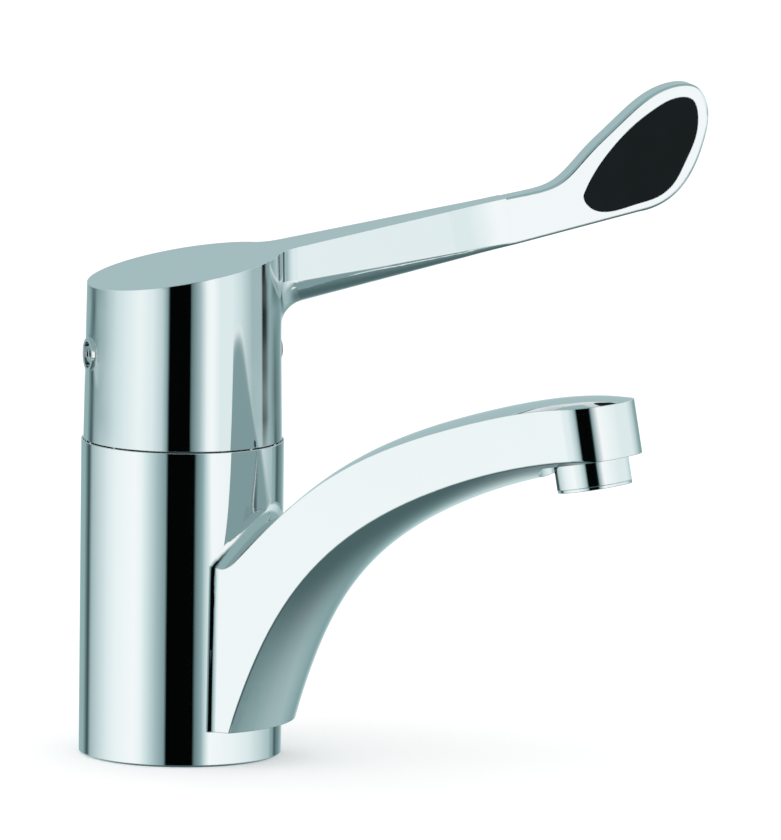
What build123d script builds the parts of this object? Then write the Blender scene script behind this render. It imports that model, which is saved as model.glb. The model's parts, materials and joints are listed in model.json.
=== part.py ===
from build123d import *
import math
import os

# Body of the tap
body_radius = 30.0
body_height = 93.5
foot_chamfer = 0.5
rim_wall = 0.4
rim_lean = 0.218
base_cavity_radius = 22.0
seat_floor_thickness = 29.0
base_seal_inner_radius = 24.4
base_seal_width = 3.0
base_seal_thickness = 2.0

# Spout, in its own upright plane along X. Its blank is a loft through crowned sections
spout_reach = 137.4
outlet_height = 90.1
outlet_tilt = 10.5
tip_depth = 27.0
tip_radius = 15.2
tip_face_height = 8.2
spout_side_taper = 2.5
spout_foot_height = 10.5
spout_foot_reach = 33.6
spout_foot_lead_share = 0.125
spout_foot_slope = 0.24
spout_sections = 9
top_crown_radius = 60.0
underside_crown_radius = 31.0
spout_blank_spare = 0.3
spout_root_fillet = 4.0
spout_edge_round = 0.6
waterway_radius = 5.5

# Threads, as the radius of the hole's wall
stud_hole_radius = 3.32
stud_hole_depth = 11.0
stud_offset = 10.0
inlet_hole_radius = 4.46
inlet_hole_depth = 12.0
inlet_bore_radius = 3.6
inlet_back_offset = 8.0
inlet_side_offset = 9.0
outlet_port_radius = 4.5
outlet_port_offset = 9.0
outlet_port_depth = 15.0

# Aerator
aerator_collar_radius = 12.0
aerator_collar_height = 7.2
aerator_skirt_radius = 11.0
aerator_thread_radius = 11.4
aerator_thread_height = 6.5
aerator_wall = 1.1
wrench_flat_half = 11.0
wrench_flat_turn = 118.0
thread_clearance = 0.06
washer_thickness = 1.5
washer_wall = 2.4
insert_clearance = 0.1
insert_height = 7.0
insert_lip = 0.6
regulator_bore = 2.5
regulator_height = 4.0
jet_plate_thickness = 1.2
jet_radius = 0.55
jet_ring_radius = 6.2
jet_count = 16

# Clearances between moving pieces
joint_gap = 0.3
running_gap = 0.3
pin_clearance = 0.05
cartridge_fit = 0.1
socket_clearance = 0.25
# How far from a wall an edge may lie and still count as lying on it
edge_slack = 0.3

# Cartridge, stacked downwards from the lever's pivot
pivot_rise = 6.0
lift_range = 22.0
lever_turn = 45.0
stem_arm = 13.0
ball_radius = 3.5
ball_depth = 1.5
stem_neck_radius = 2.6
stem_radius = 4.0
stem_square = 8.0
stem_top_rise = 30.0
carrier_radius = 14.0
carrier_height = 9.0
moving_disc_radius = 13.0
moving_disc_height = 4.0
mixing_pocket_length = 13.0
mixing_pocket_width = 9.0
mixing_pocket_depth = 2.0
fixed_disc_radius = 17.0
fixed_disc_height = 5.0
disc_recess = 1.0
cartridge_radius = 22.9
cartridge_base_height = 5.0
port_seal_groove = 1.2
port_seal_wall = 1.2
housing_flange_height = 5.5
housing_radius = 20.0
housing_wall = 2.0
housing_lip_height = 2.0
turntable_flange_height = 2.4
neck_radius = 13.0
neck_top_rise = 4.5
pivot_pin_radius = 2.0
pivot_pin_length = 22.0
slot_side_gap = 0.3
slot_end_gap = 0.5
limit_ring_wall = 5.0
limit_ring_height = 2.7
limit_tab_width = 6.0
limit_tab_reach = 1.6
nut_radius = 25.5
nut_height = 6.0
nut_slot_width = 5.0
nut_slot_depth = 2.0
nut_slot_count = 6
o_ring_section = 1.2

# Lever handle, in its own upright plane along the lever
head_foot_radius = 29.4
head_top_radius = 28.6
head_draft_height = 50.0
head_wall = 3.0
head_roof = 4.0
top_plane_height = 51.5
top_plane_slope = 0.18
arm_bottom_height = 32.3
arm_bottom_slope = 0.2256
arm_root_fillet = 8.5
arm_root_half_width = 9.4
arm_taper_end = 96.0
arm_bend_length = 18.0
arm_bend_sections = 5
arm_centre_round = 11.0
arm_end_round = 0.8
blade_half_thickness = 3.75
blade_round = 0.8
lever_length = 160.7
lever_rise = 101.7
boss_radius = 9.0
boss_clearance = 6.5
boss_fit = 0.05
grub_radius = 3.0
grub_length = 10.0
grub_socket = 1.5
grub_socket_depth = 3.0
plug_height = 26.0
rear_plug_radius = 4.9
rear_plug_proud = 0.6
rear_plug_wall = 1.0
index_plug_radius = 3.6
index_plug_proud = 0.8
plug_fit = 0.05
plug_length = 3.0
pad_pocket_depth = 1.2
pad_proud = 0.3
pad_fit = 0.1

# Places worked out from the sizes above
turn = math.radians(lever_turn)
along = Vector(math.cos(turn), math.sin(turn), 0)
beside = Vector(math.sin(turn), -math.cos(turn), 0)
tilt = math.radians(outlet_tilt)
pivot_height = body_height + pivot_rise
ball_height = pivot_height - stem_arm
carrier_top = ball_height + ball_depth
carrier_bottom = carrier_top - carrier_height
moving_disc_bottom = carrier_bottom - moving_disc_height
fixed_disc_bottom = moving_disc_bottom - fixed_disc_height
seat_height = fixed_disc_bottom + disc_recess - cartridge_base_height
cavity_top = seat_height - seat_floor_thickness
housing_bottom = seat_height + cartridge_base_height
flange_top = housing_bottom + housing_flange_height
nut_top = flange_top + nut_height
flange_bottom = carrier_top + running_gap
housing_lip_bottom = flange_bottom + turntable_flange_height + running_gap
housing_top = housing_lip_bottom + housing_lip_height
limit_ring_bottom = housing_top + running_gap
neck_top = pivot_height + neck_top_rise
disc_stroke = stem_arm * math.sin(math.radians(lift_range))
head_bottom = body_height + joint_gap
recess_radius = body_radius - rim_wall - rim_lean * (body_height - nut_top)
o_ring_height = flange_top - housing_flange_height / 2
inlet_places = [(-inlet_back_offset, -inlet_side_offset), (-inlet_back_offset, inlet_side_offset)]
lift = math.radians(lift_range)
slot_front_high = stem_radius + slot_end_gap
slot_back_high = -(neck_top_rise * math.tan(lift) + stem_radius / math.cos(lift)) - slot_end_gap
slot_back_low = -stem_radius - slot_end_gap
slot_front_low = (pivot_height - flange_bottom) * math.tan(lift)
slot_front_low += stem_radius / math.cos(lift) + slot_end_gap

# Upright plane of the lever, its turned level planes, and the outlet's plane
lever_side = Plane(origin=(0, 0, 0), x_dir=along, z_dir=beside)


def lever_level(height):
    return Plane(origin=(0, 0, height), x_dir=along, z_dir=(0, 0, 1))


def lever_facing(height, distance=0):
    return Plane(origin=along * distance + Vector(0, 0, height), x_dir=beside * -1, z_dir=along)


outlet_up = Vector(-math.sin(tilt), 0, math.cos(tilt))
outlet_out = Vector(math.cos(tilt), 0, math.sin(tilt))
outlet_face = Vector(spout_reach, 0, outlet_height)


def outlet_level(height):
    return Plane(origin=outlet_face + outlet_up * height, x_dir=outlet_out, z_dir=outlet_up)


# Centre lines of the spout's top and underside, as shares of its reach and its crest height
crest_height = outlet_height + tip_depth
top_line_shares = [(0.0, 0.333), (0.2205, 0.577), (0.417, 0.777), (0.617, 0.8915), (0.815, 0.963),
                   (0.997, 0.998), (1.14, 0.984)]
underside_shares = [(0.31, 0.298), (0.4017, 0.4654), (0.54, 0.6097), (0.678, 0.7003),
                    (0.8304, 0.7694), (1.019, 0.8207), (1.14, 0.845)]

with BuildLine(Plane.XZ) as spout_top_line:
    Spline([(x * spout_reach, z * crest_height) for x, z in top_line_shares])
spout_foot_lead = spout_foot_lead_share * crest_height
lead_reach = spout_foot_reach - spout_foot_lead * spout_foot_slope
underside_points = [(lead_reach, spout_foot_height - spout_foot_lead), (spout_foot_reach, spout_foot_height)]
underside_points += [(x * spout_reach, z * crest_height) for x, z in underside_shares]
with BuildLine(Plane.XZ) as spout_underside_line:
    Spline(underside_points)

# The spout's plan: sides that widen towards the body, and a round tip about the outlet. The blank is wider
taper = math.radians(spout_side_taper)
tangent_out = tip_radius * math.sin(taper)
tangent_side = tip_radius * math.cos(taper)
root_run = spout_reach
root_side = tangent_side + (root_run + tangent_out) * math.tan(taper)
plan_overrun = crest_height
spout_blank_half_width = root_side + spout_blank_spare


def crown_sag(radius):
    return radius - math.sqrt(radius ** 2 - spout_blank_half_width ** 2)


top_sag = crown_sag(top_crown_radius)
underside_sag = crown_sag(underside_crown_radius)

with BuildPart() as spout_arm:
    for section in range(spout_sections):
        share = section / (spout_sections - 1)
        upper = spout_top_line.line @ share
        lower = spout_underside_line.line @ share
        depth = (upper - lower).length
        across = Plane(origin=lower, x_dir=(0, 1, 0), z_dir=Vector(0, 1, 0).cross(upper - lower))
        with BuildSketch(across):
            with BuildLine():
                right_low = (spout_blank_half_width, underside_sag)
                right_high = (spout_blank_half_width, depth - top_sag)
                left_low = (-spout_blank_half_width, underside_sag)
                left_high = (-spout_blank_half_width, depth - top_sag)
                Line(right_low, right_high)
                ThreePointArc(right_high, (0, depth), left_high)
                Line(left_high, left_low)
                ThreePointArc(left_low, (0, 0), right_low)
            make_face()
    loft()

with BuildPart() as spout_plan:
    with BuildSketch(outlet_level(0)):
        with BuildLine():
            Polyline((tangent_out, -tangent_side), (-root_run, -root_side), (-root_run, root_side),
                     (tangent_out, tangent_side))
            ThreePointArc((tangent_out, tangent_side), (tip_radius, 0), (tangent_out, -tangent_side))
        make_face()
    extrude(amount=plan_overrun, both=True)

with BuildPart() as spout_trim:
    add(spout_arm.part)
    add(spout_plan.part, mode=Mode.INTERSECT)
    with BuildSketch(Plane.XY.offset(spout_foot_height)):
        Rectangle(2 * spout_reach, 2 * spout_reach)
    extrude(amount=-spout_reach, mode=Mode.SUBTRACT)
    with BuildSketch(outlet_level(tip_face_height)):
        Circle(tip_radius + spout_edge_round)
    extrude(amount=-tip_depth, mode=Mode.SUBTRACT)
    long_edges = spout_trim.edges().filter_by(lambda edge: edge.length > spout_reach / 2)
    fillet(long_edges.sort_by(lambda edge: (edge @ 0.5).Z)[:2], spout_edge_round)


def on_body_wall(edge):
    spots = [edge @ (step / 4) for step in range(5)]
    return all(abs(math.hypot(spot.X, spot.Y) - body_radius) < edge_slack for spot in spots)


def where_spout_joins(edge):
    middle = edge @ 0.5
    beside_seam = abs((edge @ 0).Y) + abs((edge @ 1).Y) > edge_slack
    at_height = spout_foot_height + edge_slack < middle.Z < body_height - edge_slack
    return middle.X > 0 and at_height and beside_seam


# Waterway from the outlet port under the cartridge to the outlet, as shares of reach and crest height
waterway_shares = [(0.19, 0.50), (0.33, 0.575), (0.46, 0.675), (0.63, 0.79), (0.80, 0.862)]
waterway_start = seat_height - outlet_port_depth + waterway_radius
waterway_end_height = tip_face_height + aerator_thread_height + washer_thickness + waterway_radius
waterway_end = outlet_face + outlet_up * waterway_end_height
socket_depth = aerator_thread_height + washer_thickness + thread_clearance

with BuildPart() as waterway:
    with BuildLine(Plane.XZ) as waterway_line:
        points = [(outlet_port_offset, waterway_start)]
        points += [(x * spout_reach, z * crest_height) for x, z in waterway_shares]
        points += [(waterway_end.X, waterway_end.Z)]
        Spline(points)
    with BuildSketch(Plane(origin=waterway_line.line @ 0, z_dir=waterway_line.line % 0)):
        Circle(waterway_radius)
    sweep()

# Body with its spout in one casting
with BuildPart() as body_casting:
    Cylinder(body_radius, body_height, align=(Align.CENTER, Align.CENTER, Align.MIN))
    add(spout_trim.part)
    root_edges = body_casting.edges().filter_by(on_body_wall).filter_by(where_spout_joins)
    fillet(root_edges, spout_root_fillet)
    foot_edge = body_casting.edges().filter_by(GeomType.CIRCLE).sort_by(Axis.Z)[0]
    chamfer(foot_edge, foot_chamfer)
    # Recess that the handle's rear edge dips into, thread for the nut, and seat for the cartridge
    with BuildSketch(Plane.XZ):
        with BuildLine():
            Polyline((0, seat_height), (cartridge_radius + cartridge_fit, seat_height),
                     (cartridge_radius + cartridge_fit, flange_top),
                     (nut_radius + thread_clearance, flange_top),
                     (nut_radius + thread_clearance, nut_top), (recess_radius, nut_top),
                     (body_radius - rim_wall, body_height), (body_radius - rim_wall, head_bottom),
                     (0, head_bottom), close=True)
        make_face()
    revolve(axis=Axis.Z, mode=Mode.SUBTRACT)
    # Base cavity and the seal's groove round it
    with BuildSketch(Plane.XY):
        Circle(base_cavity_radius)
    extrude(amount=cavity_top, mode=Mode.SUBTRACT)
    with BuildSketch(Plane.XY):
        Circle(base_seal_inner_radius + base_seal_width)
        Circle(base_seal_inner_radius, mode=Mode.SUBTRACT)
    extrude(amount=base_seal_thickness, mode=Mode.SUBTRACT)
    # Tapped holes for the stud and the two supply hoses, then the bores up to the cartridge
    with BuildSketch(Plane.XY.offset(cavity_top)):
        with Locations((stud_offset, 0)):
            Circle(stud_hole_radius)
    extrude(amount=stud_hole_depth, mode=Mode.SUBTRACT)
    with BuildSketch(Plane.XY.offset(cavity_top)):
        with Locations(*inlet_places):
            Circle(inlet_hole_radius)
    extrude(amount=inlet_hole_depth, mode=Mode.SUBTRACT)
    with BuildSketch(Plane.XY.offset(cavity_top)):
        with Locations(*inlet_places):
            Circle(inlet_bore_radius)
    extrude(amount=seat_floor_thickness, mode=Mode.SUBTRACT)
    with BuildSketch(Plane.XY.offset(seat_height)):
        with Locations((outlet_port_offset, 0)):
            Circle(outlet_port_radius)
    extrude(amount=-outlet_port_depth + waterway_radius, mode=Mode.SUBTRACT)
    add(waterway.part, mode=Mode.SUBTRACT)
    # Socket for the aerator
    with BuildSketch(outlet_level(tip_face_height)):
        Circle(aerator_thread_radius + thread_clearance)
    extrude(amount=socket_depth, mode=Mode.SUBTRACT)
body_casting.part.label = "body_casting"

with BuildPart() as base_seal:
    with BuildSketch(Plane.XY):
        Circle(base_seal_inner_radius + base_seal_width)
        Circle(base_seal_inner_radius, mode=Mode.SUBTRACT)
    extrude(amount=base_seal_thickness)
base_seal.part.label = "base_seal"

# The cartridge's two inlets and its outlet, each wider by the given wall
def port_holes(height, wall=0):
    with BuildSketch(Plane.XY.offset(height)) as holes:
        with Locations(*inlet_places):
            Circle(inlet_bore_radius + wall)
        with Locations((outlet_port_offset, 0)):
            Circle(outlet_port_radius + wall)
    return holes.sketch


with BuildPart() as cartridge_base:
    with BuildSketch(Plane.XY.offset(seat_height)):
        Circle(cartridge_radius)
    extrude(amount=cartridge_base_height)
    with BuildSketch(Plane.XY.offset(fixed_disc_bottom)):
        Circle(fixed_disc_radius)
    extrude(amount=disc_recess, mode=Mode.SUBTRACT)
    extrude(port_holes(seat_height), amount=cartridge_base_height, mode=Mode.SUBTRACT)
    extrude(port_holes(seat_height, port_seal_wall), amount=port_seal_groove, mode=Mode.SUBTRACT)
cartridge_base.part.label = "cartridge_base"

with BuildPart() as port_seals:
    extrude(port_holes(seat_height, port_seal_wall), amount=port_seal_groove)
    extrude(port_holes(seat_height), amount=port_seal_groove, mode=Mode.SUBTRACT)
port_seals.part.label = "port_seals"

with BuildPart() as fixed_disc:
    with BuildSketch(Plane.XY.offset(fixed_disc_bottom)):
        Circle(fixed_disc_radius)
    extrude(amount=fixed_disc_height)
    extrude(port_holes(fixed_disc_bottom), amount=fixed_disc_height, mode=Mode.SUBTRACT)
fixed_disc.part.label = "fixed_disc"

with BuildPart() as cartridge_housing:
    with BuildSketch(Plane.XZ):
        with BuildLine():
            Polyline((fixed_disc_radius + cartridge_fit, housing_bottom),
                     (cartridge_radius, housing_bottom), (cartridge_radius, flange_top),
                     (housing_radius, flange_top), (housing_radius, housing_top),
                     (neck_radius + running_gap, housing_top),
                     (neck_radius + running_gap, housing_lip_bottom),
                     (housing_radius - housing_wall, housing_lip_bottom),
                     (housing_radius - housing_wall, moving_disc_bottom),
                     (fixed_disc_radius + cartridge_fit, moving_disc_bottom), close=True)
        make_face()
    revolve(axis=Axis.Z)
    # Groove for the O-ring round the flange
    with BuildSketch(Plane.XZ):
        with Locations((cartridge_radius, o_ring_height)):
            Rectangle(2 * o_ring_section, 2 * o_ring_section)
    revolve(axis=Axis.Z, mode=Mode.SUBTRACT)
cartridge_housing.part.label = "cartridge_housing"

with BuildPart() as housing_o_ring:
    with BuildSketch(Plane.XZ):
        with Locations((cartridge_radius - o_ring_section / 2 + cartridge_fit / 2, o_ring_height)):
            Rectangle(o_ring_section + cartridge_fit, 2 * o_ring_section)
    revolve(axis=Axis.Z)
housing_o_ring.part.label = "housing_o_ring"

with BuildPart() as cartridge_nut:
    with BuildSketch(Plane.XY.offset(flange_top)):
        Circle(nut_radius)
        Circle(housing_radius + running_gap, mode=Mode.SUBTRACT)
    extrude(amount=nut_height)
    with BuildSketch(Plane.XY.offset(nut_top)):
        with PolarLocations(nut_radius, nut_slot_count):
            Rectangle(nut_radius - housing_radius, nut_slot_width)
    extrude(amount=-nut_slot_depth, mode=Mode.SUBTRACT)
cartridge_nut.part.label = "cartridge_nut"

# Moving ceramic disc and its carrier, which the stem's ball pushes along the lever's direction
disc_rest = along * (-disc_stroke / 2)


def resting_disc(height):
    return Plane(origin=disc_rest + Vector(0, 0, height), x_dir=along, z_dir=(0, 0, 1))


with BuildPart() as moving_disc:
    with BuildSketch(resting_disc(moving_disc_bottom)):
        Circle(moving_disc_radius)
    extrude(amount=moving_disc_height)
    with BuildSketch(resting_disc(moving_disc_bottom)):
        SlotOverall(mixing_pocket_length, mixing_pocket_width)
    extrude(amount=mixing_pocket_depth, mode=Mode.SUBTRACT)
moving_disc.part.label = "moving_disc"

with BuildPart() as disc_carrier:
    with BuildSketch(resting_disc(carrier_bottom)):
        Circle(carrier_radius)
    extrude(amount=carrier_height)
    with BuildSketch(lever_level(ball_height - ball_radius - running_gap)):
        Circle(ball_radius + socket_clearance)
    extrude(amount=carrier_height, mode=Mode.SUBTRACT)
disc_carrier.part.label = "disc_carrier"

with BuildPart() as turntable:
    with BuildSketch(Plane.XY.offset(flange_bottom)):
        Circle(housing_radius - housing_wall - running_gap)
    extrude(amount=turntable_flange_height)
    with BuildSketch(Plane.XY.offset(flange_bottom)):
        Circle(neck_radius)
    extrude(amount=neck_top - flange_bottom)
    # Slot for the stem's swing, and the bore of its pin
    with BuildSketch(lever_side):
        with BuildLine():
            Polyline((slot_front_low, flange_bottom), (slot_front_low, pivot_height),
                     (slot_front_high, neck_top), (slot_back_high, neck_top),
                     (slot_back_low, pivot_height), (slot_back_low, flange_bottom), close=True)
        make_face()
    extrude(amount=stem_radius + slot_side_gap, both=True, mode=Mode.SUBTRACT)
    with BuildSketch(Plane(origin=(0, 0, pivot_height), x_dir=along, z_dir=beside)):
        Circle(pivot_pin_radius)
    extrude(amount=pivot_pin_length / 2, both=True, mode=Mode.SUBTRACT)
turntable.part.label = "turntable"

with BuildPart() as pivot_pin:
    with BuildSketch(Plane(origin=(0, 0, pivot_height), x_dir=along, z_dir=beside)):
        Circle(pivot_pin_radius)
    extrude(amount=pivot_pin_length / 2, both=True)
pivot_pin.part.label = "pivot_pin"

with BuildPart() as temperature_limit_ring:
    with BuildSketch(lever_level(limit_ring_bottom)):
        Circle(neck_radius + limit_ring_wall)
        with Locations((neck_radius + limit_ring_wall, 0)):
            Rectangle(2 * limit_tab_reach, limit_tab_width)
        Circle(neck_radius, mode=Mode.SUBTRACT)
    extrude(amount=limit_ring_height)
temperature_limit_ring.part.label = "temperature_limit_ring"

with BuildPart() as lever_stem:
    with BuildSketch(lever_side):
        with BuildLine():
            stem_start = ball_height - math.sqrt(ball_radius ** 2 - stem_neck_radius ** 2)
            ThreePointArc((0, ball_height - ball_radius), (ball_radius, ball_height),
                          (stem_neck_radius, 2 * ball_height - stem_start))
            Polyline((stem_neck_radius, 2 * ball_height - stem_start),
                     (stem_neck_radius, carrier_top + ball_depth),
                     (stem_radius, carrier_top + ball_depth + stem_radius - stem_neck_radius),
                     (stem_radius, neck_top), (0, neck_top), (0, ball_height - ball_radius))
        make_face()
    revolve(axis=Axis.Z)
    with BuildSketch(lever_level(neck_top)):
        Rectangle(stem_square, stem_square)
    extrude(amount=stem_top_rise - neck_top_rise)
    with BuildSketch(Plane(origin=(0, 0, pivot_height), x_dir=along, z_dir=beside)):
        Circle(pivot_pin_radius + pin_clearance)
    extrude(amount=stem_radius * 2, both=True, mode=Mode.SUBTRACT)
lever_stem.part.label = "lever_stem"


# Lever handle: a hollow head with a flat sloping top, an arm and an upright paddle.
# Its outline points are shares of the lever's length and of its rise above the body.
paddle_shares = [(0.6472, 0.6904), (0.7063, 0.7158), (0.7679, 0.8053), (0.8214, 0.8840), (0.8774, 0.9587),
                 (0.9334, 0.9971), (0.9770, 0.9912), (0.9988, 0.9322), (0.9932, 0.8338), (0.9701, 0.7404),
                 (0.9347, 0.6716), (0.8899, 0.6343)]
paddle_start_share = 0.61
paddle_end_share = 0.8687
pad_shares = [(0.7610, 0.6854), (0.7754, 0.7325), (0.8146, 0.8181), (0.8587, 0.8869), (0.8992, 0.9322),
              (0.9396, 0.9597), (0.9670, 0.9538), (0.9788, 0.9046), (0.9732, 0.8348), (0.9552, 0.7699),
              (0.9309, 0.7030), (0.9023, 0.6696), (0.8625, 0.6509), (0.7971, 0.6313), (0.7704, 0.6480)]


def top_height(distance):
    return body_height + top_plane_height + top_plane_slope * distance


def arm_bottom(distance):
    return body_height + arm_bottom_height + arm_bottom_slope * distance


def on_handle(share, rise_share):
    return (share * lever_length, body_height + rise_share * lever_rise)


def head_radius(height):
    risen = (height - head_bottom) / head_draft_height
    return head_foot_radius - (head_foot_radius - head_top_radius) * risen


def distance_along(spot):
    return Vector(spot).dot(along)


def pad_outline(inset):
    spots = [Vector(*on_handle(*pair)) for pair in pad_shares]
    centre = sum(spots, Vector()) / len(spots)
    return [spot + (centre - spot).normalized() * inset for spot in spots]


paddle_start = (paddle_start_share * lever_length, top_height(paddle_start_share * lever_length))
paddle_end = (paddle_end_share * lever_length, arm_bottom(paddle_end_share * lever_length))
section_lean = arm_bottom_slope / (1 + top_plane_slope * arm_bottom_slope)
blade_start = ((paddle_start[0] + (top_height(0) - arm_bottom(0)) * section_lean)
               / (1 + (arm_bottom_slope - top_plane_slope) * section_lean))
bend_start = blade_start - arm_bend_length
blade_taper = (arm_root_half_width - blade_half_thickness) / (arm_taper_end - head_top_radius)
arm_centre_half_width = arm_root_half_width + head_top_radius * blade_taper
head_crest = top_height(head_foot_radius) + head_roof
boss_bottom = neck_top + boss_clearance
stem_top = pivot_height + stem_top_rise
plug_level = body_height + plug_height
plug_wall_radius = head_radius(plug_level)

# Half the arm's width: a straight taper, eased into the blade's thickness over the bend's length
def arm_half_width(distance):
    tapered = arm_centre_half_width - blade_taper * distance
    if distance <= bend_start:
        return tapered
    eased = (distance - bend_start) / arm_bend_length
    return tapered + (blade_half_thickness - tapered) * eased ** 2 * (3 - 2 * eased)


# Section square to the arm's underside: flat top and sides, and round lower corners that shrink outwards
def arm_section(distance):
    half = arm_half_width(distance)
    corner = arm_centre_round + (arm_end_round - arm_centre_round) * distance / blade_start
    slant = corner * (1 - math.sqrt(0.5))
    foot = along * distance + Vector(0, 0, arm_bottom(distance))
    facing = along + Vector(0, 0, arm_bottom_slope)
    depth = (top_height(distance) - arm_bottom(distance)) * facing.length
    depth /= 1 + top_plane_slope * arm_bottom_slope
    across = Plane(origin=foot, x_dir=beside * -1, z_dir=facing)
    with BuildSketch(across) as outline:
        with BuildLine():
            Polyline((-half, corner), (-half, depth), (half, depth), (half, corner))
            ThreePointArc((half, corner), (half - slant, slant), (half - corner, 0))
            Line((half - corner, 0), (corner - half, 0))
            ThreePointArc((corner - half, 0), (slant - half, slant), (-half, corner))
        make_face()
    return outline.sketch


with BuildPart() as lever_arm:
    add(arm_section(0))
    add(arm_section(bend_start))
    loft(ruled=True)

with BuildPart() as arm_bend:
    for section in range(arm_bend_sections):
        add(arm_section(bend_start + arm_bend_length * section / (arm_bend_sections - 1)))
    loft()

def on_blade_face(edge):
    return abs(abs((edge @ 0.5).dot(beside)) - blade_half_thickness) < edge_slack


with BuildPart() as blade:
    with BuildSketch(lever_side.offset(-blade_half_thickness)):
        with BuildLine():
            Line((blade_start, arm_bottom(blade_start)), paddle_start)
            Spline([paddle_start] + [on_handle(*pair) for pair in paddle_shares] + [paddle_end])
            Line(paddle_end, (blade_start, arm_bottom(blade_start)))
        make_face()
    extrude(amount=2 * blade_half_thickness)
    rim = blade.edges().filter_by(on_blade_face)
    rim = rim.filter_by(lambda edge: distance_along(edge @ 0.5) > blade_start + edge_slack)
    fillet(rim, blade_round)

with BuildPart() as above_top_plane:
    with BuildSketch(lever_side.offset(-lever_length)):
        with BuildLine():
            Polyline((-lever_length, top_height(-lever_length)), (lever_length, top_height(lever_length)),
                     (lever_length, 2 * head_crest), (-lever_length, 2 * head_crest), close=True)
        make_face()
    extrude(amount=2 * lever_length)

with BuildPart() as head_cavity:
    with BuildSketch(Plane.XY.offset(head_bottom - joint_gap)):
        Circle(head_foot_radius - head_wall)
    extrude(amount=head_crest - head_bottom)
    add(above_top_plane.part.moved(Location((0, 0, -head_roof))), mode=Mode.SUBTRACT)
    with BuildSketch(Plane.XY.offset(boss_bottom)):
        Circle(boss_radius)
    extrude(amount=head_crest - boss_bottom, mode=Mode.SUBTRACT)


def on_head_wall(edge):
    spots = [edge @ (step / 4) for step in range(5)]
    return all(abs(math.hypot(spot.X, spot.Y) - head_radius(spot.Z)) < edge_slack / 4 for spot in spots)


def below_top_plane(edge):
    return (edge @ 0.5).Z < top_height(distance_along(edge @ 0.5)) - edge_slack


with BuildPart() as lever_handle:
    with BuildSketch(Plane.XZ):
        with BuildLine():
            Polyline((0, head_bottom), (head_foot_radius, head_bottom),
                     (head_radius(head_crest), head_crest), (0, head_crest), close=True)
        make_face()
    revolve(axis=Axis.Z)
    add(above_top_plane.part, mode=Mode.SUBTRACT)
    add(lever_arm.part)
    joining = lever_handle.edges().filter_by(on_head_wall).filter_by(below_top_plane)
    joining = joining.filter_by(lambda edge: distance_along(edge @ 0.5) > head_top_radius / 2)
    joining = joining.filter_by(lambda edge: (edge @ 0.5).Z > arm_bottom(0))
    fillet(joining, arm_root_fillet)
    add(arm_bend.part)
    add(blade.part)
    add(head_cavity.part, mode=Mode.SUBTRACT)
    # Square hole for the stem and the tapped hole of its grub screw
    with BuildSketch(lever_level(boss_bottom)):
        Rectangle(stem_square + 2 * boss_fit, stem_square + 2 * boss_fit)
    extrude(amount=stem_top + boss_fit - boss_bottom, mode=Mode.SUBTRACT)
    with BuildSketch(lever_facing(plug_level)):
        Circle(grub_radius + thread_clearance)
    extrude(amount=-boss_radius - head_wall, mode=Mode.SUBTRACT)
    # Holes for the rear plug and the index plug
    with BuildSketch(lever_facing(plug_level, -head_foot_radius + head_wall + plug_length)):
        Circle(rear_plug_radius)
    extrude(amount=-head_foot_radius, mode=Mode.SUBTRACT)
    with BuildSketch(lever_facing(plug_level, head_foot_radius - head_wall - plug_length)):
        Circle(index_plug_radius)
    extrude(amount=head_wall + 2 * plug_length, mode=Mode.SUBTRACT)
    # Pocket for the grip pad on each face of the paddle
    for face in (-1, 1):
        with BuildSketch(lever_side.offset(face * blade_half_thickness)):
            with BuildLine():
                Spline(pad_outline(0), periodic=True)
            make_face()
        extrude(amount=-face * pad_pocket_depth, mode=Mode.SUBTRACT)
lever_handle.part.label = "lever_handle"

with BuildPart() as near_grip_pad:
    with BuildSketch(lever_side.offset(blade_half_thickness - pad_pocket_depth)):
        with BuildLine():
            Spline(pad_outline(pad_fit), periodic=True)
        make_face()
    extrude(amount=pad_pocket_depth + pad_proud)
near_grip_pad.part.label = "near_grip_pad"

with BuildPart() as far_grip_pad:
    with BuildSketch(lever_side.offset(pad_pocket_depth - blade_half_thickness)):
        with BuildLine():
            Spline(pad_outline(pad_fit), periodic=True)
        make_face()
    extrude(amount=-pad_pocket_depth - pad_proud)
far_grip_pad.part.label = "far_grip_pad"

with BuildPart() as grub_screw:
    with BuildSketch(lever_facing(plug_level, -stem_square / 2)):
        Circle(grub_radius)
    extrude(amount=-grub_length)
    with BuildSketch(lever_facing(plug_level, -stem_square / 2 - grub_length)):
        RegularPolygon(grub_socket, 6)
    extrude(amount=grub_socket_depth, mode=Mode.SUBTRACT)
grub_screw.part.label = "grub_screw"

with BuildPart() as rear_screw_plug:
    with BuildSketch(lever_facing(plug_level, -plug_wall_radius - rear_plug_proud)):
        Circle(rear_plug_radius - plug_fit)
    extrude(amount=plug_length + rear_plug_proud)
    with BuildSketch(lever_facing(plug_level, -plug_wall_radius - rear_plug_proud)):
        Circle(rear_plug_radius - rear_plug_wall)
    extrude(amount=rear_plug_proud + rear_plug_wall, mode=Mode.SUBTRACT)
rear_screw_plug.part.label = "rear_screw_plug"

with BuildPart() as front_index_plug:
    with BuildSketch(lever_facing(plug_level, plug_wall_radius + index_plug_proud)):
        Circle(index_plug_radius - plug_fit)
    extrude(amount=-plug_length - index_plug_proud)
    outer_rim = front_index_plug.edges().filter_by(GeomType.CIRCLE)
    outer_rim = outer_rim.sort_by(lambda edge: distance_along(edge @ 0.5))[-1]
    fillet(outer_rim, index_plug_proud)
front_index_plug.part.label = "front_index_plug"

# Aerator at the outlet
collar_bottom = tip_face_height - aerator_collar_height
thread_top = tip_face_height + aerator_thread_height
aerator_bore = aerator_skirt_radius - aerator_wall

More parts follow.
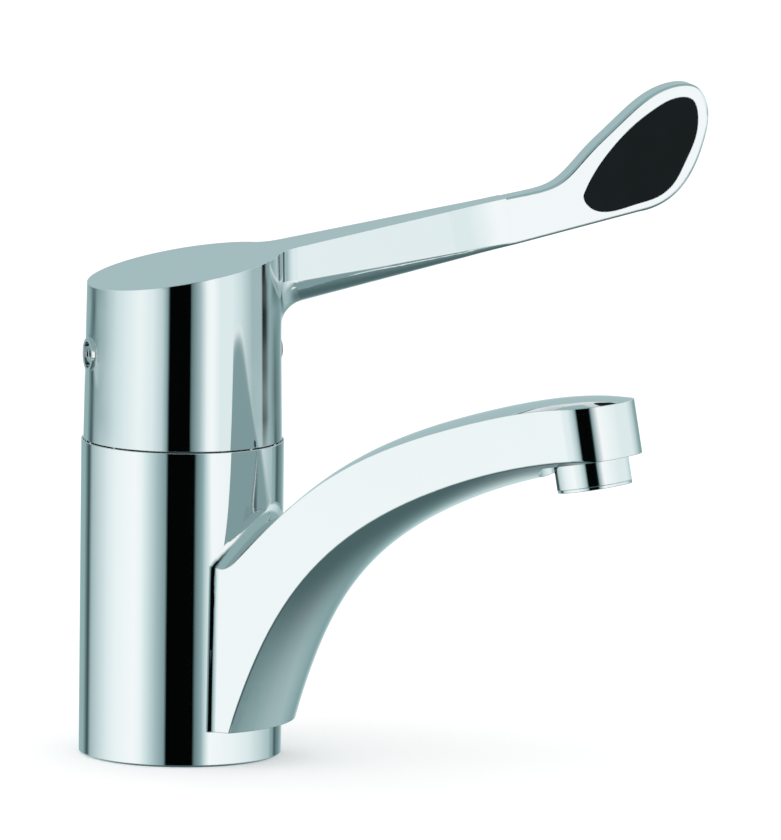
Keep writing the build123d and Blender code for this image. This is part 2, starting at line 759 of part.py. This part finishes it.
with BuildPart() as aerator_housing:
    with BuildSketch(outlet_level(0)):
        Circle(aerator_skirt_radius)
    extrude(amount=collar_bottom)
    with BuildSketch(outlet_level(collar_bottom)):
        Circle(aerator_collar_radius)
        with Locations(Location((0, 0), wrench_flat_turn)):
            Rectangle(4 * aerator_collar_radius, 2 * wrench_flat_half, mode=Mode.INTERSECT)
    extrude(amount=aerator_collar_height)
    with BuildSketch(outlet_level(tip_face_height)):
        Circle(aerator_thread_radius)
    extrude(amount=aerator_thread_height)
    with BuildSketch(outlet_level(insert_lip)):
        Circle(aerator_bore)
    extrude(amount=thread_top, mode=Mode.SUBTRACT)
    with BuildSketch(outlet_level(0)):
        Circle(aerator_bore - insert_lip)
    extrude(amount=insert_lip, mode=Mode.SUBTRACT)
aerator_housing.part.label = "aerator_housing"

with BuildPart() as aerator_insert:
    with BuildSketch(outlet_level(insert_lip)):
        Circle(aerator_bore - insert_clearance)
    extrude(amount=insert_height)
    with BuildSketch(outlet_level(insert_lip + jet_plate_thickness)):
        Circle(aerator_bore - insert_clearance - aerator_wall)
    extrude(amount=insert_height, mode=Mode.SUBTRACT)
    with BuildSketch(outlet_level(insert_lip)):
        with PolarLocations(jet_ring_radius, jet_count):
            Circle(jet_radius)
        with PolarLocations(jet_ring_radius / 2, jet_count // 2):
            Circle(jet_radius)
    extrude(amount=jet_plate_thickness, mode=Mode.SUBTRACT)
aerator_insert.part.label = "aerator_insert"

with BuildPart() as flow_regulator:
    with BuildSketch(outlet_level(insert_lip + jet_plate_thickness)):
        Circle(aerator_bore - 2 * insert_clearance - aerator_wall)
        Circle(regulator_bore, mode=Mode.SUBTRACT)
    extrude(amount=regulator_height)
flow_regulator.part.label = "flow_regulator"

with BuildPart() as aerator_washer:
    with BuildSketch(outlet_level(thread_top)):
        Circle(aerator_thread_radius)
        Circle(aerator_thread_radius - washer_wall, mode=Mode.SUBTRACT)
    extrude(amount=washer_thickness)
aerator_washer.part.label = "aerator_washer"

nodes = [body_casting, base_seal, cartridge_base, port_seals, fixed_disc, cartridge_housing, housing_o_ring,
         cartridge_nut, moving_disc, disc_carrier, turntable, pivot_pin, temperature_limit_ring, lever_stem,
         lever_handle, near_grip_pad, far_grip_pad, grub_screw, rear_screw_plug, front_index_plug,
         aerator_housing, aerator_insert, flow_regulator, aerator_washer]
os.makedirs("parts", exist_ok=True)
for node in nodes:
    print(node.part.label, node.part.is_valid, round(node.part.volume, 1), len(node.part.solids()))
    export_step(node.part, "parts/" + node.part.label + ".step")
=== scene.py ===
import bpy
import json
import math
from mathutils import Matrix, Vector

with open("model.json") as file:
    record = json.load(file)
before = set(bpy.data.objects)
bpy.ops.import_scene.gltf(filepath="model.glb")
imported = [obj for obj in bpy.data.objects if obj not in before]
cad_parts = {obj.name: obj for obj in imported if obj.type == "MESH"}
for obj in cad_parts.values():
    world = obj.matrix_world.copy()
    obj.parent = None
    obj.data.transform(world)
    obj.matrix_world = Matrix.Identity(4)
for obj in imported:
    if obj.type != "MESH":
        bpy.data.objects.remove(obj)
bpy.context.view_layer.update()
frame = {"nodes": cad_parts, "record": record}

# Sizes in metres
mm = 0.001

# Camera: a long lens, a little above the tap and a little in front of its spout. It aims at a point to the
# right of the frame's origin and above it, as the camera sees them.
view_azimuth = math.radians(28.0)
view_elevation = math.radians(8.6)
view_roll = math.radians(0.62)
view_distance = 6.0
view_aim = (61.31 * mm, 98.56 * mm)
picture_height = 840
pixels_per_mm = 3.378
sensor_size = 36.0
far_clip = 100.0

# Light: the room's strength on plain surfaces, to the eye and in mirror finishes, and one soft key light
room_strength = 0.93
white_strength = 1.0
reflection_strength = 1.25
key_size = 1.6
key_power = 5.0
key_place = (-0.7, -1.6, 1.9)

# White paper under the tap
paper_radius = 5.0
paper_sides = 64
paper_drop = 0.1 * mm
paper_tone = "fcfcfc"
paper_lift = 0.18

# The studio's tones, from its black flag to its brightest softbox, with a cool cast
flag = "030404"
gap = "3e5355"
under = "4a6163"
shade = "5c7577"
slate = "7d989a"
stone = "8ca8a9"
mist = "9eb5b7"
pale = "b9cccd"
haze = "c9dcdd"
soft = "dce9ea"
white = "eaf3f3"
bright = "f4f8f8"
# A plain white and a plain black, for shares and for the room
full_white = "ffffff"
full_black = "000000"

# The studio that the chrome mirrors, in layers. Each stop is a bearing in degrees round the tap, counted
# from the camera, and the tone of the studio there: a black flag behind the camera, a white softbox on each
# side of it, narrow dark gaps past them, and a pale backdrop behind the tap.
# Straight down, under the tap
studio_under = [(0, under)]
# The floor round the tap
studio_floor = [(-180, pale), (-150, mist), (-110, pale), (-78, white), (-45, soft), (-22, stone), (-15, gap),
                (12, gap), (20, shade), (45, shade), (78, stone), (110, mist), (131, mist), (145, stone),
                (158, slate), (168, stone), (175, pale), (180, pale)]
# Level with the tap's body
studio_low = [(-180, haze), (-166, stone), (-146, stone), (-134, gap), (-131, gap), (-124, mist),
              (-112, pale), (-92, soft), (-78, white), (-55, bright), (-47, white), (-38, haze), (-27, mist),
              (-18, slate), (-16, flag), (15, flag), (16, shade), (24, stone), (29, haze), (34, bright),
              (60, white), (84, soft), (110, pale), (130, stone), (137, gap), (142, shade), (156, slate),
              (180, haze)]
# Level with the lever's head
studio_middle = [(-180, pale), (-160, stone), (-138, shade), (-122, slate), (-107, mist), (-86, haze),
                 (-70, soft), (-52, white), (-36, soft), (-24, pale), (-18, slate), (-16, flag), (9, flag),
                 (10, shade), (20, mist), (29, white), (35, bright), (45, soft), (60, soft), (72, haze),
                 (90, mist), (106, mist), (108, flag), (113, flag), (116, slate), (130, stone), (144, slate),
                 (164, slate), (180, pale)]
# Above the lever's head, where the backdrop darkens
studio_high = [(-180, mist), (-150, mist), (-120, pale), (-90, soft), (-40, haze), (-20, stone), (-17, flag),
               (12, flag), (15, slate), (30, bright), (80, soft), (108, soft), (130, haze), (160, mist),
               (180, mist)]
# The ceiling
studio_ceiling = [(0, stone)]
# Heights of the layers' edges, as the upward part of a unit ray: where each next layer starts and is full
floor_edge = (-0.17, -0.36)
under_edge = (-0.4, -0.92)
middle_edge = (-0.142, -0.124)
high_edge = (-0.09, 0.06)
ceiling_edge = (0.32, 0.6)
# A low strip light in front, on the lever's side: it draws the bright line in the arm's round lower edge
strip_ends = [(-180, full_black), (28, full_black), (36, full_white), (72, full_white), (80, full_black),
              (180, full_black)]
strip_foot = (-0.53, -0.5)
strip_head = (-0.4, -0.43)

# Chrome: the waves and the faint dull film that buffing leaves, and its lightly broken edges
chrome_tone = "e6e7e8"
chrome_roughness = 0.03
chrome_wave_size = 22 * mm
chrome_wave_depth = 0.03 * mm
chrome_film_size = 5 * mm
chrome_film_roughness = (0.02, 0.045)
chrome_edge_round = 0.35 * mm
chrome_edge_samples = 6
# Moulded pieces: the size of their clouds, and how far the mould's grain moves the roughness
moulded_cloud_size = 9 * mm
moulded_spread = 0.06
# Turned pieces: the size of their clouds, how far a tool ring moves the roughness, and the rings' wobble
turned_cloud_size = 6 * mm
turned_spread = (-0.05, 0.08)
turned_wobble = 0.4
# A wave texture's rings repeat every 0.314 units of its scaled coordinate
wave_repeat = 0.314
# Where a cloud's darker tone ends and its lighter one begins
cloud_places = (0.3, 0.7)
plain_specular = 0.5

# A mix node's colour sockets share their names with its others, so they go by number
mix_share, mix_first, mix_second, mix_result = 0, 6, 7, 2


def linear(hex_colour):
    """Turns an sRGB hex value into the linear colour that a shader socket takes."""
    parts = [int(hex_colour[i:i + 2], 16) / 255 for i in (0, 2, 4)]
    return tuple(p / 12.92 if p <= 0.04045 else ((p + 0.055) / 1.055) ** 2.4 for p in parts) + (1.0,)


def add_node(tree, kind, links=(), values=(), **settings):
    """Adds a node, sets its properties and sockets by name, then sets and links sockets by name or number."""
    node = tree.nodes.new(kind)
    for name, value in settings.items():
        if name in node.bl_rna.properties:
            setattr(node, name, value)
        else:
            node.inputs[name.replace("_", " ")].default_value = value
    for socket, value in values:
        node.inputs[socket].default_value = value
    for socket, source in links:
        tree.links.new(source, node.inputs[socket])
    return node


def fill_ramp(node, stops):
    """Gives a colour ramp its stops, each a place from 0 to 1 and a linear colour."""
    elements = node.color_ramp.elements
    while len(elements) > 1:
        elements.remove(elements[-1])
    elements[0].position, elements[0].color = stops[0]
    for place, colour in stops[1:]:
        elements.new(place).color = colour


def empty_tree(owner):
    """Gives a material or the world an empty node tree."""
    owner.use_nodes = True
    owner.node_tree.nodes.clear()
    return owner.node_tree


def build_world():
    """A white room for the eye, plain light for the surfaces and the studio's walls for mirror finishes."""
    world = bpy.data.worlds.new("studio")
    bpy.context.scene.world = world
    tree = empty_tree(world)
    coordinates = add_node(tree, "ShaderNodeTexCoord")
    from_camera = add_node(tree, "ShaderNodeVectorRotate", rotation_type="Z_AXIS",
                           Angle=math.pi / 2 - view_azimuth,
                           links=[("Vector", coordinates.outputs["Generated"])])
    ray = add_node(tree, "ShaderNodeSeparateXYZ", links=[("Vector", from_camera.outputs["Vector"])])
    bearing = add_node(tree, "ShaderNodeMath", operation="ARCTAN2",
                       links=[(0, ray.outputs["Y"]), (1, ray.outputs["X"])])
    round_tap = add_node(tree, "ShaderNodeMapRange", From_Min=-math.pi, From_Max=math.pi,
                         links=[("Value", bearing.outputs[0])])

    # A ring of tones for each layer and one for the strip's ends, then a step at each edge, in the same order
    rings = []
    for stops in (studio_low, studio_floor, studio_under, studio_middle, studio_high, studio_ceiling,
                  strip_ends):
        ring = add_node(tree, "ShaderNodeValToRGB", links=[("Fac", round_tap.outputs["Result"])])
        fill_ramp(ring, [((degrees + 180) / 360, linear(tone)) for degrees, tone in stops])
        rings.append(ring.outputs["Color"])
    studio, *layers, strip_share = rings

    edges = []
    for starts, full in (floor_edge, under_edge, middle_edge, high_edge, ceiling_edge, strip_foot,
                         strip_head):
        edge = add_node(tree, "ShaderNodeMapRange", interpolation_type="SMOOTHSTEP", From_Min=starts,
                        From_Max=full, links=[("Value", ray.outputs["Z"])])
        edges.append(edge.outputs["Result"])
    *layer_edges, foot, head = edges

    for edge, layer in zip(layer_edges, layers):
        mix = add_node(tree, "ShaderNodeMix", data_type="RGBA",
                       links=[(mix_share, edge), (mix_first, studio), (mix_second, layer)])
        studio = mix.outputs[mix_result]
    for edge in (foot, head):
        within = add_node(tree, "ShaderNodeMath", operation="MULTIPLY", links=[(0, strip_share), (1, edge)])
        strip_share = within.outputs[0]
    strip = add_node(tree, "ShaderNodeMix", data_type="RGBA", values=[(mix_second, linear(soft))],
                     links=[(mix_share, strip_share), (mix_first, studio)])

    path = add_node(tree, "ShaderNodeLightPath")
    mirrored = path.outputs["Is Glossy Ray"]
    room = add_node(tree, "ShaderNodeMix", data_type="RGBA", values=[(mix_first, linear(full_white))],
                    links=[(mix_share, mirrored), (mix_second, strip.outputs[mix_result])])
    to_eye = add_node(tree, "ShaderNodeMath", operation="MULTIPLY_ADD",
                      values=[(1, white_strength - room_strength), (2, room_strength)],
                      links=[(0, path.outputs["Is Camera Ray"])])
    strength = add_node(tree, "ShaderNodeMath", operation="MULTIPLY_ADD",
                        values=[(1, reflection_strength - room_strength)],
                        links=[(0, mirrored), (2, to_eye.outputs[0])])
    background = add_node(tree, "ShaderNodeBackground",
                          links=[("Color", room.outputs[mix_result]), ("Strength", strength.outputs[0])])
    add_node(tree, "ShaderNodeOutputWorld", links=[("Surface", background.outputs[0])])


def build_camera():
    """A long lens at its bearing and height, aimed past the tap's middle and rolled a little."""
    right = Vector((math.cos(view_azimuth), math.sin(view_azimuth), 0))
    forward = Vector((-math.sin(view_azimuth), math.cos(view_azimuth), 0))
    back = Vector((0, 0, math.sin(view_elevation))) - forward * math.cos(view_elevation)
    up = back.cross(right)
    aim = right * view_aim[0] + up * view_aim[1]
    camera_right = right * math.cos(view_roll) + up * math.sin(view_roll)
    camera_up = up * math.cos(view_roll) - right * math.sin(view_roll)
    data = bpy.data.cameras.new("camera")
    data.sensor_width = sensor_size
    data.lens = sensor_size * view_distance / (picture_height / pixels_per_mm * mm)
    data.clip_end = far_clip
    camera = bpy.data.objects.new("camera", data)
    turn = Matrix((camera_right, camera_up, back)).transposed().to_4x4()
    camera.matrix_world = Matrix.Translation(aim + back * view_distance) @ turn
    bpy.context.collection.objects.link(camera)
    bpy.context.scene.camera = camera


def build_stage():
    """White paper under the tap, and a soft key light that mirror finishes don't show."""
    bpy.ops.object.select_all(action="DESELECT")
    bpy.ops.mesh.primitive_circle_add(vertices=paper_sides, radius=paper_radius, fill_type="NGON",
                                      location=(0, 0, -paper_drop))
    floor = bpy.context.object
    floor.name = "studio_floor"
    # White paper, lifted to pure white for the eye alone, so that the tap's shadow stays on it
    material = bpy.data.materials.new("white_paper_sweep")
    tree = empty_tree(material)
    paper = add_node(tree, "ShaderNodeBsdfDiffuse", Color=linear(paper_tone))
    path = add_node(tree, "ShaderNodeLightPath")
    lift = add_node(tree, "ShaderNodeMath", operation="MULTIPLY", values=[(1, paper_lift)],
                    links=[(0, path.outputs["Is Camera Ray"])])
    glow = add_node(tree, "ShaderNodeEmission", links=[("Strength", lift.outputs[0])])
    both = add_node(tree, "ShaderNodeAddShader", links=[(0, paper.outputs[0]), (1, glow.outputs[0])])
    add_node(tree, "ShaderNodeOutputMaterial", links=[("Surface", both.outputs[0])])
    floor.data.materials.append(material)
    floor.visible_glossy = False
    data = bpy.data.lights.new("key_softbox", "AREA")
    data.size = key_size
    data.energy = key_power
    key = bpy.data.objects.new("key_softbox", data)
    key.location = key_place
    key.rotation_euler = (-Vector(key_place)).to_track_quat("-Z", "Y").to_euler()
    key.visible_glossy = False
    bpy.context.collection.objects.link(key)


def chrome_plate():
    """Bright chrome plated on polished brass: a neutral mirror, with the faint waviness of a buffed casting
    and the lightly broken edges that buffing leaves."""
    material = bpy.data.materials.new("bright_chrome_on_buffed_brass")
    tree = empty_tree(material)
    place = add_node(tree, "ShaderNodeTexCoord").outputs["Object"]
    film = add_node(tree, "ShaderNodeTexNoise", Scale=1 / chrome_film_size, Detail=4.0,
                    links=[("Vector", place)])
    clearest, dullest = chrome_film_roughness
    gloss = add_node(tree, "ShaderNodeMapRange", To_Min=clearest, To_Max=dullest,
                     links=[("Value", film.outputs["Fac"])])
    waves = add_node(tree, "ShaderNodeTexNoise", Scale=1 / chrome_wave_size, Detail=1.0,
                     links=[("Vector", place)])
    edges = add_node(tree, "ShaderNodeBevel", samples=chrome_edge_samples, Radius=chrome_edge_round)
    relief = add_node(tree, "ShaderNodeBump", Distance=chrome_wave_depth,
                      links=[("Height", waves.outputs["Fac"]), ("Normal", edges.outputs["Normal"])])
    shader = add_node(tree, "ShaderNodeBsdfPrincipled", Base_Color=linear(chrome_tone),
                      Roughness=chrome_roughness, Metallic=1.0,
                      links=[("Roughness", gloss.outputs["Result"]), ("Normal", relief.outputs["Normal"])])
    add_node(tree, "ShaderNodeOutputMaterial", links=[("Surface", shader.outputs["BSDF"])])
    return material


def moulded(name, low, high, roughness, grain, depth, specular=plain_specular):
    """A moulded plastic or rubber: two close tones in soft clouds, under the fine grain of its mould."""
    material = bpy.data.materials.new(name)
    tree = empty_tree(material)
    place = add_node(tree, "ShaderNodeTexCoord").outputs["Object"]
    clouds = add_node(tree, "ShaderNodeTexNoise", Scale=1 / moulded_cloud_size, Detail=3.0,
                      links=[("Vector", place)])
    tones = add_node(tree, "ShaderNodeValToRGB", links=[("Fac", clouds.outputs["Fac"])])
    fill_ramp(tones, list(zip(cloud_places, (linear(low), linear(high)))))
    texture = add_node(tree, "ShaderNodeTexNoise", Scale=1 / grain, Detail=3.0, links=[("Vector", place)])
    gloss = add_node(tree, "ShaderNodeMapRange", To_Min=roughness - moulded_spread,
                     To_Max=roughness + moulded_spread, links=[("Value", texture.outputs["Fac"])])
    relief = add_node(tree, "ShaderNodeBump", Distance=depth, links=[("Height", texture.outputs["Fac"])])
    shader = add_node(tree, "ShaderNodeBsdfPrincipled", Base_Color=linear(low), Roughness=roughness,
                      Specular_IOR_Level=specular,
                      links=[("Base Color", tones.outputs["Color"]), ("Roughness", gloss.outputs["Result"]),
                             ("Normal", relief.outputs["Normal"])])
    add_node(tree, "ShaderNodeOutputMaterial", links=[("Surface", shader.outputs["BSDF"])])
    return material


def turned(name, low, high, roughness, pitch, depth):
    """A metal turned on a lathe: rings about the upright axis, and tones that wander a little."""
    material = bpy.data.materials.new(name)
    tree = empty_tree(material)
    place = add_node(tree, "ShaderNodeTexCoord").outputs["Object"]
    clouds = add_node(tree, "ShaderNodeTexNoise", Scale=1 / turned_cloud_size, Detail=4.0,
                      links=[("Vector", place)])
    tones = add_node(tree, "ShaderNodeValToRGB", links=[("Fac", clouds.outputs["Fac"])])
    fill_ramp(tones, list(zip(cloud_places, (linear(low), linear(high)))))
    rings = add_node(tree, "ShaderNodeTexWave", wave_type="RINGS", rings_direction="Z", wave_profile="SIN",
                     Scale=wave_repeat / pitch, Distortion=turned_wobble, Detail=1.0,
                     links=[("Vector", place)])
    smoother, rougher = turned_spread
    gloss = add_node(tree, "ShaderNodeMapRange", To_Min=roughness + smoother, To_Max=roughness + rougher,
                     links=[("Value", rings.outputs["Fac"])])
    relief = add_node(tree, "ShaderNodeBump", Distance=depth, links=[("Height", rings.outputs["Fac"])])
    shader = add_node(tree, "ShaderNodeBsdfPrincipled", Base_Color=linear(high), Roughness=roughness,
                      Metallic=1.0,
                      links=[("Base Color", tones.outputs["Color"]), ("Roughness", gloss.outputs["Result"]),
                             ("Normal", relief.outputs["Normal"])])
    add_node(tree, "ShaderNodeOutputMaterial", links=[("Surface", shader.outputs["BSDF"])])
    return material


build_camera()
build_world()
build_stage()

# Each finish is named for what the real piece is made of, and the comment says what that gives the eye. After
# its tones and roughness come its grain or ring pitch and its depth, drawn coarser than the real ones so that
# they show.
finishes = {
    "chrome": chrome_plate(),
    # Thermoplastic rubber moulded in a spark-eroded tool: a deep satin black with a fine even grain
    "pad_rubber": moulded("black_satin_rubber_grip", "040e0f", "081416", 0.42, 0.5 * mm, 0.012 * mm,
                          specular=0.16),
    # EPDM seal rubber: matt black with a trace of grey bloom
    "seal_rubber": moulded("epdm_seal_rubber", "15181a", "1f2325", 0.55, 0.6 * mm, 0.01 * mm, specular=0.3),
    # Natural acetal: milky white, slightly warm, satin from the mould
    "cartridge_plastic": moulded("natural_acetal", "e4e1d8", "efece4", 0.38, 0.7 * mm, 0.006 * mm),
    # Glass-filled nylon: dark grey, with the cloudy flow marks of its fibres
    "carrier_plastic": moulded("glass_filled_nylon", "303437", "44484b", 0.46, 0.4 * mm, 0.012 * mm),
    # Lapped alumina: dense warm white, almost glossy
    "disc_ceramic": moulded("lapped_alumina_ceramic", "ebe8df", "f3f0e9", 0.2, 0.35 * mm, 0.002 * mm),
    # Turned brass: yellow metal with fine tool rings
    "nut_brass": turned("turned_brass", "c99f55", "dcb76c", 0.26, 0.4 * mm, 0.006 * mm),
    # Turned stainless steel: cool grey metal with fine tool rings
    "stem_steel": turned("turned_stainless_steel", "a9abac", "bcbebf", 0.22, 0.35 * mm, 0.005 * mm),
    # Red acetal: a clear signal red with a moulded gloss
    "limit_ring_plastic": moulded("red_acetal", "a81f17", "bd2c20", 0.28, 0.7 * mm, 0.005 * mm),
    # Polished grey ABS: even, glossy
    "plug_plastic": moulded("grey_polished_abs", "7f878a", "8b9396", 0.2, 0.8 * mm, 0.003 * mm),
    # Pale grey acetal: satin and smooth
    "insert_plastic": moulded("pale_grey_acetal", "bcc2c5", "cbd0d3", 0.36, 0.6 * mm, 0.006 * mm),
    # Blue acetal: satin
    "regulator_plastic": moulded("blue_acetal", "3a5f97", "4a70a8", 0.36, 0.6 * mm, 0.006 * mm),
}
for part in frame["record"]["subparts"]:
    for slot in frame["nodes"][part["node"]].material_slots:
        slot.material = finishes[part["material_slot"]]

bpy.context.scene.view_settings.view_transform = "Standard"
